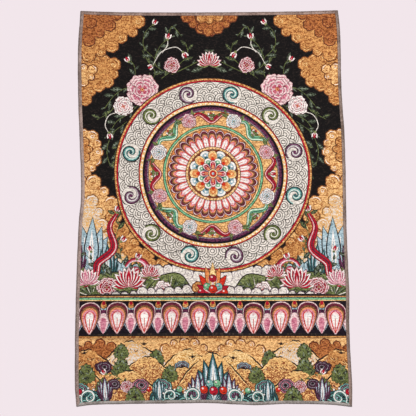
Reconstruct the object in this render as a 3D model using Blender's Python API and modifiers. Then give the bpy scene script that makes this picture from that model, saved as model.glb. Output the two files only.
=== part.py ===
"""A woven thangka painting: a thin upright sheet whose rim is covered by four overlocked strips.

The face looks towards -Y and the sheet hangs below the middle of its upper edge, which is the origin.
Every piece is first modelled flat, in "sheet millimetres": S runs from the left edge to the right one,
T runs down from the upper edge, and N is the height off the middle of the cloth, positive to the back.
settle() then carries each point to its place on the hanging sheet, in metres.
"""

import math

import bmesh
import bpy
from mathutils import Vector

# Driving dimensions, in millimetres.
SHEET_WIDTH = 600.0
SHEET_HEIGHT = 894.0
CLOTH_THICKNESS = 1.2
GAP = 0.3  # between the cloth and what covers its rim, and between two strips
WALL = 0.6  # thread built up on each face of the cloth
NOSE = 0.8  # thread wrapped round the cloth's cut edge
NOSE_STEPS = 4
PITCH = 23.0  # size of the sheet's facets
METRE = 1000.0

# The strip on each edge: how wide it lies on the face, from its nose to its inner edge.
STRIPS = {
    "left": {"width": 7.7, "color": (0.23, 0.19, 0.18, 1.0)},
    "top": {"width": 7.6, "color": (0.24, 0.20, 0.19, 1.0)},
    "right": {"width": 6.8, "color": (0.27, 0.22, 0.21, 1.0)},
    "bottom": {"width": 6.6, "color": (0.26, 0.23, 0.21, 1.0)},
}

# Where each edge of the hanging sheet runs. The upright edges give X by the way down from the upper edge,
# and the other two give Z by X.
LEFT_EDGE = {"down": (0, 90, 200, 300, 430, 500, 670, 850, 894),
             "x": (-302.5, -307.0, -305.0, -299.6, -295.5, -300.0, -302.3, -303.0, -299.5)}
RIGHT_EDGE = {"down": (0, 50, 190, 300, 500, 650, 740, 860, 894),
              "x": (298.2, 302.0, 301.0, 304.5, 302.0, 303.8, 301.0, 303.3, 302.0)}
TOP_EDGE = {"x": (-303, -200, 0, 200, 299),
            "z": (6.0, 2.2, 0.0, 0.2, 2.1)}
BOTTOM_EDGE = {"x": (-301, -262, -100, -10, 90, 150, 200, 260, 303),
               "z": (-894.5, -890.3, -888.8, -887.8, -893.8, -891.7, -891.8, -894.3, -899.6)}

# The slow waves of the sheet, each a soft swelling off the wall. mid_s and mid_t are its middle, reach_s and
# reach_t how far it spreads each way, and height how far its top would stand out. A middle beyond the rim
# makes an edge that lifts. The upper edge stays flat, because it is held.
WAVES = (
    {"name": "left edge, upper", "mid_s": -60, "mid_t": 295, "reach_s": 150, "reach_t": 135, "height": 8.0},
    {"name": "left edge, lower", "mid_s": -60, "mid_t": 690, "reach_s": 175, "reach_t": 235, "height": 13.0},
    {"name": "right edge, middle", "mid_s": 650, "mid_t": 430, "reach_s": 140, "reach_t": 190, "height": 5.0},
    {"name": "right edge, lower", "mid_s": 660, "mid_t": 800, "reach_s": 160, "reach_t": 150, "height": 5.0},
    {"name": "hem, left of middle", "mid_s": 285, "mid_t": 960, "reach_s": 125, "reach_t": 260, "height": 7.0},
    {"name": "hem, right of middle", "mid_s": 500, "mid_t": 960, "reach_s": 110, "reach_t": 240, "height": 4.0},
    {"name": "upper belly", "mid_s": 360, "mid_t": 300, "reach_s": 260, "reach_t": 250, "height": 2.5},
    {"name": "lower belly", "mid_s": 230, "mid_t": 560, "reach_s": 240, "reach_t": 260, "height": 2.5},
)

CLOTH_COLOR = (0.16, 0.11, 0.08, 1.0)
RIM = NOSE + GAP  # how far the cloth's cut edge lies inside the strips' outer edge


# The hanging surface

def smooth(stations, values, at):
    """The value at a place along a table, on a cubic curve through its rows."""
    at = min(max(at, stations[0]), stations[-1])
    last = len(stations) - 1
    row = next((i for i in range(last) if at <= stations[i + 1]), last - 1)

    def slope(i):
        before, after = max(i - 1, 0), min(i + 1, last)
        return (values[after] - values[before]) / (stations[after] - stations[before])

    span = stations[row + 1] - stations[row]
    share = (at - stations[row]) / span
    left = 1 + share * share * (2 * share - 3)
    bend = share * (1 - share) * span
    return (
        left * values[row]
        + (1 - left) * values[row + 1]
        + bend * ((1 - share) * slope(row) - share * slope(row + 1))
    )


def swell(share):
    """A soft bump: 1 in its middle, 0 at its reach and beyond."""
    return math.cos(math.pi / 2 * min(abs(share), 1.0)) ** 2


def relief(s, t):
    """How far the sheet stands off the wall."""
    return sum(
        wave["height"]
        * swell((s - wave["mid_s"]) / wave["reach_s"])
        * swell((t - wave["mid_t"]) / wave["reach_t"])
        for wave in WAVES
    )


def settle(flat):
    """The place on the hanging sheet, in metres, of a point modelled flat as (S, T, N)."""
    s, t, n = flat
    across, down = s / SHEET_WIDTH, t / SHEET_HEIGHT
    left = smooth(LEFT_EDGE["down"], LEFT_EDGE["x"], t)
    right = smooth(RIGHT_EDGE["down"], RIGHT_EDGE["x"], t)
    x = left + (right - left) * across
    top = smooth(TOP_EDGE["x"], TOP_EDGE["z"], x)
    bottom = smooth(BOTTOM_EDGE["x"], BOTTOM_EDGE["z"], x)
    return Vector((x, n - relief(s, t), top + (bottom - top) * down)) / METRE


# Pieces

def material(name, color, roughness):
    """A plain Principled material."""
    made = bpy.data.materials.new(name)
    made.use_nodes = True
    shader = made.node_tree.nodes["Principled BSDF"]
    shader.inputs["Base Color"].default_value = color
    shader.inputs["Roughness"].default_value = roughness
    return made


def add_piece(bm, name, collection, finish):
    """Settles a flat mesh onto the hanging sheet and adds it as a named object."""
    for vert in bm.verts:
        vert.co = settle(vert.co)
    if bm.calc_volume(signed=True) < 0:  # two of the four strips are laid out as mirror images
        bmesh.ops.reverse_faces(bm, faces=bm.faces)
    mesh = bpy.data.meshes.new(name)
    bm.to_mesh(mesh)
    bm.free()
    mesh.materials.append(finish)
    piece = bpy.data.objects.new(name, mesh)
    collection.objects.link(piece)
    return piece


def build_cloth(collection):
    """The woven sheet: an open grid inside the strips, given its thickness by Solidify."""
    bm = bmesh.new()
    width, height = SHEET_WIDTH - 2 * RIM, SHEET_HEIGHT - 2 * RIM
    columns, rows = round(width / PITCH), round(height / PITCH)
    bmesh.ops.create_grid(bm, x_segments=columns, y_segments=rows, size=0.5)
    for vert in bm.verts:
        vert.co.x = RIM + (vert.co.x + 0.5) * width
        vert.co.y = RIM + (vert.co.y + 0.5) * height
    cloth = add_piece(bm, "cloth", collection, material("woven_cloth", CLOTH_COLOR, 0.75))
    solidify = cloth.modifiers.new("thickness", "SOLIDIFY")
    solidify.thickness = CLOTH_THICKNESS / METRE
    solidify.offset = 0.0
    return cloth


def strip_profile(width):
    """The strip's section as (distance in from the nose, height off the middle): a C round the cloth's rim."""
    inner = CLOTH_THICKNESS / 2 + GAP
    outer = inner + WALL
    nose = [
        (NOSE - NOSE * math.sin(turn), outer * math.cos(turn))
        for turn in (math.pi * step / NOSE_STEPS for step in range(NOSE_STEPS + 1))
    ]
    back, front = [(width, outer)], [(width, -outer)]
    channel = [(width, -inner), (NOSE, -inner), (NOSE, inner), (width, inner)]
    return back + nose + front + channel


def strip_place(edge, run, depth, height):
    """The flat (S, T, N) of a point `run` along an edge and `depth` in from it."""
    places = {
        "left": (depth, run),
        "right": (SHEET_WIDTH - depth, run),
        "top": (run, depth),
        "bottom": (run, SHEET_HEIGHT - depth),
    }
    return Vector((*places[edge], height))


def build_strip(edge, width, color, collection):
    """One overlocked strip: its C section drawn out along the edge, with both ends mitred."""
    length = SHEET_HEIGHT if edge in ("left", "right") else SHEET_WIDTH
    bm = bmesh.new()
    section = bm.faces.new([bm.verts.new((0, depth, height)) for depth, height in strip_profile(width)])
    drawn = bmesh.ops.extrude_face_region(bm, geom=[section])["geom"]
    for vert in drawn:
        if isinstance(vert, bmesh.types.BMVert):
            vert.co.x = 1.0
    lengthwise = [e for e in bm.edges if abs(e.verts[0].co.x - e.verts[1].co.x) > 0.5]
    bmesh.ops.subdivide_edges(bm, edges=lengthwise, cuts=round(length / PITCH) - 1)
    for vert in bm.verts:
        share, depth, height = vert.co
        start = depth + GAP / math.sqrt(2)
        run = start + share * (length - 2 * start)
        vert.co = strip_place(edge, run, depth, height)
    finish = material(f"overlock_{edge}", color, 0.85)
    return add_piece(bm, f"binding_{edge}", collection, finish)


def main():
    for old in list(bpy.data.objects):
        bpy.data.objects.remove(old, do_unlink=True)
    collection = bpy.data.collections.new("thangka")
    bpy.context.scene.collection.children.link(collection)
    build_cloth(collection)
    for edge, strip in STRIPS.items():
        build_strip(edge, strip["width"], strip["color"], collection)


main()
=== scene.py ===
# %% [markdown]
# # A woven thangka hanging
# This file dresses one real thing: a picture panel, 60 by 90 cm, woven in many coloured wefts and finished
# with an overlocked edge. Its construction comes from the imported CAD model, and this script adds the looks.
# The cells are meant to be read from the top, because each one uses what the ones above defined.

# %% Load the fixed frame
import math

import bmesh
import bpy
import numpy as np
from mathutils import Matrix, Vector
from mathutils.geometry import delaunay_2d_cdt
from mathutils.kdtree import KDTree


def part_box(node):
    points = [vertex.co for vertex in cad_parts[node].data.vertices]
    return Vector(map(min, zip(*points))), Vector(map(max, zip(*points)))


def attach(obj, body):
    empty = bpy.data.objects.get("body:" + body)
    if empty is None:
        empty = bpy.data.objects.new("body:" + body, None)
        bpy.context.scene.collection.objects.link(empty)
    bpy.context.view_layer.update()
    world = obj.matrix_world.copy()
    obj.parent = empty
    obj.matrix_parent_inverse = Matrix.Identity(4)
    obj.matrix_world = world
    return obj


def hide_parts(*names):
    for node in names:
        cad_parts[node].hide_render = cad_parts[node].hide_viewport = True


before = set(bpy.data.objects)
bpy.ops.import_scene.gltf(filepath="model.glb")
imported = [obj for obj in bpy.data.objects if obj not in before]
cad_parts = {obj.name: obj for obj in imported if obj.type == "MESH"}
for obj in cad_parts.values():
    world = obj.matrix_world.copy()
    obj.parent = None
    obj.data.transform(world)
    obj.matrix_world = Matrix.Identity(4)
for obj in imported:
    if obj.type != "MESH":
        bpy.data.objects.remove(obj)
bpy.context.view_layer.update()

cloth_low, cloth_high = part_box("cloth")
print("nodes:", ", ".join(sorted(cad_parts)))
print("cloth, mm:", [round(1000 * (high - low), 1) for low, high in zip(cloth_low, cloth_high)])

# %% [markdown]
# ## The hanging surface
# A hanging sheet is never quite flat or straight. Everything on it can be modelled flat, in millimetres of
# cloth: S from the left edge, T down from the upper edge, N off the middle of the cloth and positive to the
# back. One function then settles any point on the hanging sheet. That keeps figure, stitches and edges
# together, whatever the sheet does, and it is much simpler than bending finished meshes. The tables are the
# CAD model's own: where each edge runs, and the slow waves that make the edges lift.

# %% Driving sizes and edges
WIDE, TALL = 600.0, 894.0  # the sheet without its waves, mm
CLOTH = 1.2  # thickness of the figured weave
GAP = 0.3  # between the cloth and the thread that covers its rim
RIM = 1.1  # how far the cloth's cut edge lies inside the strips' outer edge
METRE = 1000.0

EDGES = {
    "left": ((0, 90, 200, 300, 430, 500, 670, 850, 894),
             (-302.5, -307.0, -305.0, -299.6, -295.5, -300.0, -302.3, -303.0, -299.5)),
    "right": ((0, 50, 190, 300, 500, 650, 740, 860, 894),
              (298.2, 302.0, 301.0, 304.5, 302.0, 303.8, 301.0, 303.3, 302.0)),
    "top": ((-303, -200, 0, 200, 299), (6.0, 2.2, 0.0, 0.2, 2.1)),
    "bottom": ((-301, -262, -100, -10, 90, 150, 200, 260, 303),
               (-894.5, -890.3, -888.8, -887.8, -893.8, -891.7, -891.8, -894.3, -899.6)),
}
WAVES = (  # (middle S, middle T, reach in S, reach in T, height): each swells off the wall
    (-60, 295, 150, 135, 8.0), (-60, 690, 175, 235, 13.0), (650, 430, 140, 190, 5.0),
    (660, 800, 160, 150, 5.0), (285, 960, 125, 260, 7.0), (500, 960, 110, 240, 4.0),
    (360, 300, 260, 250, 2.5), (230, 560, 240, 260, 2.5),
)
PUCKERS = (  # (edge's depth axis, wave length, start, reach inwards, height): the stitches draw the edge in
    ("left", 47, 8, 30, 0.55), ("left", 83, 30, 55, 0.50), ("right", 52, 0, 30, 0.50),
    ("right", 91, 12, 60, 0.45), ("bottom", 49, 20, 30, 0.60), ("bottom", 78, 5, 50, 0.50),
    ("top", 60, 10, 25, 0.25),
)
print(f"a sheet of {WIDE:.0f} x {TALL:.0f} mm with {len(WAVES)} waves and {len(PUCKERS)} rows of puckers")

# %% Follow an edge
def smooth(edge, at):
    """The way an edge runs, on a cubic curve through its table's rows."""
    stations, values = (np.array(row, float) for row in EDGES[edge])
    count = len(stations)
    at = np.clip(at, stations[0], stations[-1])
    row = np.clip(np.searchsorted(stations, at) - 1, 0, count - 2)
    before, after = np.maximum(np.arange(count) - 1, 0), np.minimum(np.arange(count) + 1, count - 1)
    slope = (values[after] - values[before]) / (stations[after] - stations[before])
    span = stations[row + 1] - stations[row]
    share = (at - stations[row]) / span
    left = 1 + share**2 * (2 * share - 3)
    bend = share * (1 - share) * span * ((1 - share) * slope[row] - share * slope[row + 1])
    return left * values[row] + (1 - left) * values[row + 1] + bend


print("the upper edge at its middle:", smooth("top", np.array([0.0])))

# %% Settle points on the sheet
def swell(share):
    """A soft bump: 1 in its middle, 0 at its reach and beyond."""
    return np.cos(np.pi / 2 * np.minimum(np.abs(share), 1.0)) ** 2


def relief(s, t):
    """How far the sheet stands off the wall: its slow waves and the small puckers by its stitched edges."""
    height = sum(h * swell((s - ms) / rs) * swell((t - mt) / rt) for ms, mt, rs, rt, h in WAVES)
    depth = {"left": s, "right": WIDE - s, "top": t, "bottom": TALL - t}
    for edge, length, start, reach, rise in PUCKERS:
        run = t if edge in ("left", "right") else s
        ripple = np.sin(2 * np.pi * (run + start) / length)
        height = height + rise * ripple * np.exp(-np.abs(depth[edge]) / reach)
    return height


def settle(s, t, n):
    """Where points modelled flat in millimetres lie on the hanging sheet, in metres."""
    x = smooth("left", t) + (smooth("right", t) - smooth("left", t)) * s / WIDE
    top = smooth("top", x)
    z = top + (smooth("bottom", x) - top) * t / TALL
    return np.stack([x, n - relief(s, t), z], axis=1) / METRE


corners = settle(np.array([0, WIDE, 0, WIDE]), np.array([0, 0, TALL, TALL]), np.zeros(4))
print("corners, m:", corners.round(4).tolist())

# %% [markdown]
# ## The yarns
# A figured weave has one dark warp and many coloured wefts. Where a weft floats on the face, its colour
# shows, and a few picks of a second weft between its floats give the speckle that softens every area. So a
# yarn here is two colours, the share of picks that show the second one, and how much gilt is spun into it.

# %% Name the yarns
YARNS = {  # name: (main colour, second colour, share of the second, gilt)
    "night": ("0d0c0d", "2a2320", 0.14, 0.0),
    "plum night": ("1d1420", "0e0c10", 0.35, 0.0),
    "haze": ("6d3050", "2a1a2c", 0.45, 0.0),
    "mist": ("9a8f98", "6a4f63", 0.35, 0.0),
    "ink": ("1f1a1a", "3a302b", 0.20, 0.0),
    "umber": ("4a2c1c", "6d4226", 0.25, 0.1),
    "gold": ("d0985a", "98592b", 0.40, 0.7),
    "pale gold": ("e6b97c", "b87a42", 0.36, 0.8),
    "bright gold": ("efcd92", "ce9850", 0.28, 0.8),
    "amber": ("b6723f", "7a401d", 0.42, 0.5),
    "orange": ("e59558", "c46a36", 0.30, 0.2),
    "rust": ("94472f", "5e2c20", 0.42, 0.1),
    "cream": ("efe9df", "c3bcb1", 0.26, 0.1),
    "white": ("faf6f0", "dcd4d0", 0.14, 0.0),
    "rose white": ("f2dcda", "d89fa4", 0.32, 0.0),
    "pink": ("dc93a4", "b85c78", 0.32, 0.0),
    "crimson": ("b81a2e", "84142a", 0.28, 0.0),
    "scarlet": ("d4351f", "a8201c", 0.22, 0.0),
    "maroon": ("70283a", "481c28", 0.35, 0.0),
    "plum": ("703a5c", "3f2036", 0.38, 0.0),
    "drab": ("876239", "5e4228", 0.35, 0.1),
    "salmon": ("e89a72", "cc6c48", 0.28, 0.1),
    "sea": ("8cc6bb", "56908c", 0.30, 0.0),
    "deep sea": ("35686a", "1c3c42", 0.35, 0.0),
    "sky": ("b4ced6", "7c9aa8", 0.30, 0.0),
    "jade": ("84c394", "4f9068", 0.30, 0.0),
    "leaf": ("88935c", "525c36", 0.40, 0.0),
    "dark leaf": ("424b3b", "1a1e19", 0.45, 0.0),
    "sage": ("93a08c", "56634f", 0.40, 0.0),
    "moss": ("6d7844", "414a2c", 0.45, 0.0),
    "frost gold": ("dcae70", "ece2d4", 0.36, 0.4),
    "dune": ("e8bb78", "94522e", 0.40, 0.6),
}
print(f"{len(YARNS)} yarns, {sum(entry[3] > 0 for entry in YARNS.values())} of them with gilt")

# %% [markdown]
# ## A drawing kit
# A point of the drawing is one complex number, S + iT, in millimetres from the sheet's upper left corner.
# Adding moves a shape, multiplying by a number of length 1 turns it, and its conjugate is its mirror image,
# so every motif can be drawn lying along the real axis and then be put in its place. Shapes are laid from
# the bottom up, as cut paper would be, and the topmost one gives each spot its yarn.

# %% Lay shapes
MIDDLE = WIDE / 2
drawing = []  # (outline, yarn, fade) from the bottom up


def lay(outline, yarn, fade=None):
    """Puts one closed shape on top. A fade is the share of the second yarn at its top and at its foot."""
    drawing.append((np.asarray(outline, complex), yarn, fade))


def spots(text):
    """Points, written as S,T pairs in mm."""
    return [complex(*map(float, pair.split(","))) for pair in text.split()]


def put(shape, at=0, turn=0.0):
    """A shape drawn round 0, put at a point, with its turn in degrees."""
    return at + shape * np.exp(1j * np.radians(turn))


def polar(radius, degrees):
    """Points at a distance and a direction from 0."""
    return radius * np.exp(1j * np.radians(degrees))


print("the drawing's middle line is", MIDDLE, "mm from its edges")

# %% Repeat and count shapes
def mirror_since(start):
    """Repeats on the other half what was laid since a count of shapes."""
    for outline, yarn, fade in drawing[start:]:
        lay(2 * MIDDLE - outline.conj(), yarn, fade)


def each(motif, rows):
    """Lays a motif once for each row of a table."""
    for row in rows:
        motif(*row)


def shapes_in(motif, *sizes):
    """How many shapes a motif takes, which is found by laying it and taking it off again."""
    start = len(drawing)
    motif(*sizes)
    count = len(drawing) - start
    del drawing[start:]
    return count


print("a square takes", shapes_in(lay, [0, 1, 1 + 1j, 1j], "gold"), "shape")

# %% Lines
def along(points, count=24):
    """A smooth line through a few points."""
    points = np.asarray(points, complex)
    slopes = np.gradient(points)
    at = np.linspace(0, len(points) - 1, count)
    row = np.minimum(at.astype(int), len(points) - 2)
    u = at - row
    start = 1 + u * u * (2 * u - 3)
    bend = u * (1 - u) * ((1 - u) * slopes[row] - u * slopes[row + 1])
    return start * points[row] + (1 - start) * points[row + 1] + bend


def around(points, count=40):
    """A smooth closed outline through a few points."""
    points = list(points)
    whole = along(points[-2:] + points + points[:2], 8 * (len(points) + 3) + 1)
    whole = whole[16 : 16 + 8 * len(points)]
    return whole[:: max(1, len(whole) // count)]


def square_to(path):
    """Unit steps square to a line, one for each of its points."""
    ahead = np.gradient(path)
    return 1j * ahead / np.abs(ahead)


def ribbon(path, width, taper=0.0):
    """A line made an outline of some width. With taper 1 it runs out to a point at both ends."""
    side = square_to(path)
    half = width / 2 * np.maximum(1 - taper + taper * np.sin(np.pi * np.linspace(0, 1, len(path))), 0.05)
    return np.concatenate([path + side * half, (path - side * half)[::-1]])


def curl(radius, turns=1.6, start=0.0, inner=0.16, count=22):
    """A spiral line round 0, from its rim inwards."""
    t = np.linspace(0, 1, count)
    return polar(radius * (1 - (1 - inner) * t), start + 360 * turns * t)


print("a curl of one turn ends", abs(curl(10, 1.0)[-1]).round(1), "from its middle")

# %% Outlines
def disc(at, radius, count=20):
    """A round shape."""
    return at + polar(radius, np.arange(count) * 360 / count)


def mirrored(side):
    """A closed outline from its upper half."""
    return np.concatenate([side, side[-2:0:-1].conj()])


def blade(length, width, belly=0.5, count=9):
    """A leaf or a pointed petal from 0 along the real axis, widest at belly."""
    t = np.linspace(0, 1, count)
    return mirrored(t * length + 0.5j * width * np.sin(np.pi * t ** (math.log(0.5) / math.log(belly))))


def petal(length, width, count=9):
    """A petal with a narrow foot at 0 and a round tip."""
    t = np.sin(np.linspace(0, np.pi / 2, count))
    return mirrored(t * length + 0.66j * width * t**0.75 * np.sqrt(np.maximum(1 - t**3.2, 0)))


def scallops(path, bumps, height, count=5):
    """A closed line broken up into rounded bumps, each of a few points."""
    closed = np.append(path, path[0])
    run = np.append(0, np.cumsum(np.abs(np.diff(closed))))
    at = np.linspace(0, run[-1], bumps * count, endpoint=False)
    line = np.interp(at, run, closed.real) + 1j * np.interp(at, run, closed.imag)
    out = np.gradient(line)
    way = -1j * np.sign(np.sum((closed[:-1].conj() * closed[1:]).imag))
    return line + way * out / np.abs(out) * height * np.abs(np.sin(np.pi * np.arange(len(at)) / count)) ** 0.7


print("a scalloped disc has", len(scallops(disc(0, 10), 7, 1)), "points")

# %% [markdown]
# ## Motifs
# All the motifs are old ones of brocade and scroll work: cloud banks, peonies, lotuses, leaves, curling
# scrolls, lotus-petal rows, waves with cliffs, hills and jewels. Each is a function that lays its shapes
# from the back to the front, with its dark outline first, because that leaves a thin line all round.

# %% Several like shapes at once
def petals(at, angle, bands, shape=blade):
    """One petal or leaf in bands laid over each other, given as (yarn, length, width)."""
    for yarn, length, width in bands:
        lay(put(shape(length, width), at, angle), yarn)


def discs(at, bands, count=24):
    """Round shapes laid over each other, given as (yarn, radius)."""
    for yarn, radius in bands:
        lay(disc(at, radius, count), yarn)


def beads(at, radius, count, size, yarn):
    """Round beads at even steps on a circle."""
    for k in range(count):
        lay(disc(at + polar(radius, 360 * k / count), size, 8), yarn)


print("a petal of two bands:", shapes_in(petals, 0, 0, (("ink", 9, 5), ("pink", 8, 4))), "shapes")

# %% [markdown]
# ### Clouds
# A brocade cloud is a bank of round lobes with a curl in each. A dark rim, a darker and a paler arc make a
# lobe look raised although the cloth is flat. One function draws a whole bank, because the lobes only have
# to follow a line. Their sizes rise and fall along it, and so a bank doesn't look stamped.

# %% Clouds
TAWNY = ("amber", "rust", "gold", "umber")  # body, shade, light, outline
GOLDEN = ("gold", "amber", "bright gold", "umber")
BRIGHT = ("pale gold", "amber", "white", "umber")
FROSTED = ("frost gold", "gold", "white", "drab")
CREAMY = ("cream", "mist", "white", "ink")
MISTY = ("sky", "deep sea", "white", "ink")


def cloud(line, lobes, size, yarns=GOLDEN):
    """A bank of cloud on one side of a line, with lobes along the line and curls in the lobes."""
    body, shade, light, outline = yarns
    path = along(spots(line), 60)
    run = np.append(0, np.cumsum(np.abs(np.diff(path))))
    steps = (np.arange(lobes) + 0.5) / lobes * run[-1]
    middles = np.interp(steps, run, path.real) + 1j * np.interp(steps, run, path.imag)
    radii = size * (1 + 0.22 * np.sin(2.3 * np.arange(lobes)))
    for spot, radius in zip(middles, radii):
        lay(scallops(disc(spot, radius + 1.6, 18), 7, radius * 0.12, 4), outline)
    lay(path, body)
    for k in np.argsort(np.sin(5.1 * np.arange(lobes))):
        spot, radius = middles[k], radii[k]
        lay(scallops(disc(spot, radius, 18), 7, radius * 0.12, 4), shade)
        lay(scallops(disc(spot, radius - 1.1, 18), 7, radius * 0.11, 4), body)
        away = np.degrees(np.angle(spot - path.mean()))
        for reach, wide, yarn in ((0.80, 60, light), (0.62, 75, shade)):
            arc = spot + polar(radius * reach, away + np.linspace(-wide, wide, 9))
            lay(ribbon(arc, radius * 0.12, 1.0), yarn)
        lay(ribbon(spot + curl(radius * 0.40, 1.2, away, 0.2, 14), radius * 0.11, 0.8), (light, shade)[k % 2])


print("a cloud of five lobes:", shapes_in(cloud, "0,0 60,20 90,0", 5, 12), "shapes")

# %% [markdown]
# ### Flowers and leaves
# Peonies and lotuses are the usual flowers of such work. A weaver shades a petal in two or three steps of
# colour inside a pale rim, and never blends them. So a petal is a few like shapes here, each smaller than
# the one below it. The peony's petals are uneven, by random numbers from a seed that each bloom is given.

# %% Peonies
ROSY = ("rose white", "pink", "crimson")  # rim, body, streaks
DEEP = ("rose white", "crimson", "maroon")
PALE = ("white", "rose white", "crimson")
ICY = ("white", "sky", "deep sea")
PEONY_RINGS = ((1.0, 7, 62), (0.80, 6, 66), (0.60, 5, 74), (0.38, 4, 84))  # (reach, petals, their degrees)


def frill(length, angle, count=11):
    """A fan-shaped petal with its foot at 0 and a frilled rim, so many degrees wide."""
    lean = np.linspace(-1, 1, count)
    return np.append(polar(length * (1 - 0.20 * lean**4 + 0.05 * np.cos(7.4 * lean)), lean * angle / 2), 0)


def peony(at, size, seed=1, yarns=ROSY):
    """A full bloom: rings of uneven, frilled petals, each with a pale rim, a body and streaks."""
    rim, body, heart = yarns
    dice = np.random.default_rng(seed)
    turn = 360 * dice.random()
    for ring, (reach, count, wide) in enumerate(PEONY_RINGS):
        for k in range(count):
            angle = turn + 360 * (k + 0.5 * (ring % 2)) / count + 16 * (dice.random() - 0.5)
            length = size * reach * (0.90 + 0.18 * dice.random())
            petals(at, angle, (("maroon", length + 0.9, wide + 5), (rim, length, wide),
                               (body, length * 0.86, wide * 0.78)), frill)
            for lean in (-0.22, 0.02, 0.2):
                streak = np.linspace(0.35, 0.80, 3) * length
                lay(ribbon(put(streak, at, angle + lean * wide), size * 0.045, 0.6), heart)
    lay(disc(at, size * 0.14, 10), heart)
    beads(at, size * 0.08, 5, size * 0.035, "bright gold")


print("a peony:", shapes_in(peony, 0, 30), "shapes")

# %% Lotuses and buds
LOTUS_LEANS = (-86, 86, -66, 66, -46, 46, -30, 30, -14, 14, 0)  # degrees, from the back to the front petal


def lotus(at, size, turn=-90.0, outer="rose white", inner="crimson"):
    """A lotus from the side: pointed petals fanned out, with a flame of colour in each."""
    for k, lean in enumerate(LOTUS_LEANS):
        length = size * (0.82 + 0.18 * math.cos(math.radians(lean)))
        petals(at, turn + lean, (("maroon", length + 1, size * 0.38),
                                 ("white" if k % 4 < 2 else outer, length, size * 0.32),
                                 (inner, length * 0.86, size * 0.23), (outer, length * 0.55, size * 0.08)))
    for side in (-1, 1):
        cup = along([at, at + size * (0.35 * side + 0.14j), at + size * (0.78 * side + 0.02j)], 8)
        lay(ribbon(cup, size * 0.13, 0.8), "ink")
        lay(ribbon(cup, size * 0.09, 0.8), "leaf")


def bud(at, size, turn):
    """A small red and white bud on its calyx."""
    for lean, yarn in ((-26, "white"), (26, "white"), (0, "crimson")):
        petals(at, turn + lean, (("maroon", size + 0.8, size * 0.54), (yarn, size, size * 0.42)))
    lay(put(blade(size * 0.6, size * 0.16), at, turn), "rose white")
    lay(disc(at, size * 0.20, 9), "leaf")


print("a lotus:", shapes_in(lotus, 0, 30), "shapes, a bud:", shapes_in(bud, 0, 15, -90))

# %% Leaves on stems
DIM = ("dark leaf", "sage")  # leaf, veins
GREEN = ("moss", "leaf")
EDGED = ("dark leaf", "leaf")


def leaf(at, length, turn, yarns=DIM):
    """A leaf with a midrib and side veins in a yarn lighter than its own."""
    lay(put(blade(length, length * 0.42, 0.45), at, turn), yarns[0])
    lay(put(ribbon(np.linspace(0.06, 0.92, 5) * length, length * 0.05, 0.6), at, turn), yarns[1])
    for share in (0.34, 0.6):
        for side in (-1, 1):
            rib = np.array([share, share + 0.13 + 0.11j * side]) * length
            lay(put(ribbon(rib, length * 0.04), at, turn), yarns[1])


def spray(line, leaves, size, yarns=DIM):
    """A stem through a few points with leaves in turn on its two sides."""
    path = along(spots(line) if isinstance(line, str) else line, 26)
    heading = np.degrees(np.angle(np.gradient(path)))
    for k in range(leaves):
        at = int((k + 0.7) / leaves * 25)
        side = 1 if k % 2 else -1
        length = size * (0.8 + 0.35 * math.sin(2.4 * k + 1))
        leaf(path[at], length, heading[at] + side * (38 + 14 * math.sin(1.7 * k)), yarns)
    lay(ribbon(path, 1.6, 0.3), "moss")


def twig(line):
    """A bare pale stem."""
    lay(ribbon(along(spots(line), 16), 1.9, 0.4), "cream")


print("a spray of six leaves:", shapes_in(spray, "0,0 40,20 90,0", 6, 20), "shapes")

# %% Lotus leaves and tufts
def pad(at, size, turn=-90):
    """A lotus leaf from the side: a wavy fan with veins from its foot."""
    for yarn, reach in (("ink", 1.04), ("leaf", 1.0), ("moss", 0.80)):
        lay(put(frill(size * reach, 150 * reach, 17), at, turn), yarn)
    for lean in range(-60, 61, 20):
        vein = np.linspace(0.1, 0.92, 4) * size
        lay(ribbon(put(vein, at, turn + lean), size * 0.05, 0.7), "dark leaf")
        lay(ribbon(put(vein, at, turn + lean + 8), size * 0.035, 0.8), "cream" if lean % 40 else "sage")


def sprig(at, size):
    """A dark tuft of narrow leaves."""
    for k, lean in enumerate((-58, -38, -20, -4, 14, 32, 52)):
        lay(put(blade(size * (0.7 + 0.3 * math.cos(2.1 * k)), size * 0.13, 0.4), at, lean - 90), "ink")


print("a lotus leaf:", shapes_in(pad, 0, 50), "shapes, a tuft:", shapes_in(sprig, 0, 13))

# %% [markdown]
# ### Ribbons, scrolls and rows
# Long forms are easiest as a line with a width. The line is bent, waved or curled first, and a silk ribbon's
# pale edge and dark fold are thinner lines beside it. Scales and petals of a row overlap their neighbours,
# so one full motif, repeated, makes the row.

# %% Silk ribbons
RED_SILK = ("crimson", "rose white", "maroon")  # body, edge, fold
JADE_SILK = ("jade", "white", "deep sea")


def streamer(path, width, yarns=RED_SILK):
    """A silk ribbon that floats along a line, with a pale edge and a fold line."""
    lay(ribbon(path, width + 2.2, 0.5), "ink")
    lay(ribbon(path, width, 0.5), yarns[0])
    side = square_to(path) * width * np.sin(np.pi * np.linspace(0, 1, len(path)))
    lay(ribbon(path + side * 0.30, width * 0.16, 0.6), yarns[1])
    lay(ribbon(path - side * 0.16, width * 0.20, 0.8), yarns[2])


def waving(points, swing, swings, count=48):
    """A smooth line through a few points that swings from side to side, less at its ends."""
    path = along(points, count)
    u = np.linspace(0, 1, count)
    return path + square_to(path) * swing * np.sin(2 * np.pi * swings * u) * np.sin(np.pi * u) ** 0.5


print("a silk ribbon:", shapes_in(streamer, waving([0, 60, 90 + 40j], 9, 2), 16), "shapes")

# %% Scroll heads and scales
SCALE = (  # (yarn, reach, points): thin rings, which the neighbours overlap
    ("ink", 1.0, 18), ("cream", 0.91, 18), ("ink", 0.68, 14), ("cream", 0.59, 14), ("ink", 0.36, 10),
    ("cream", 0.26, 8),
)


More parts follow.
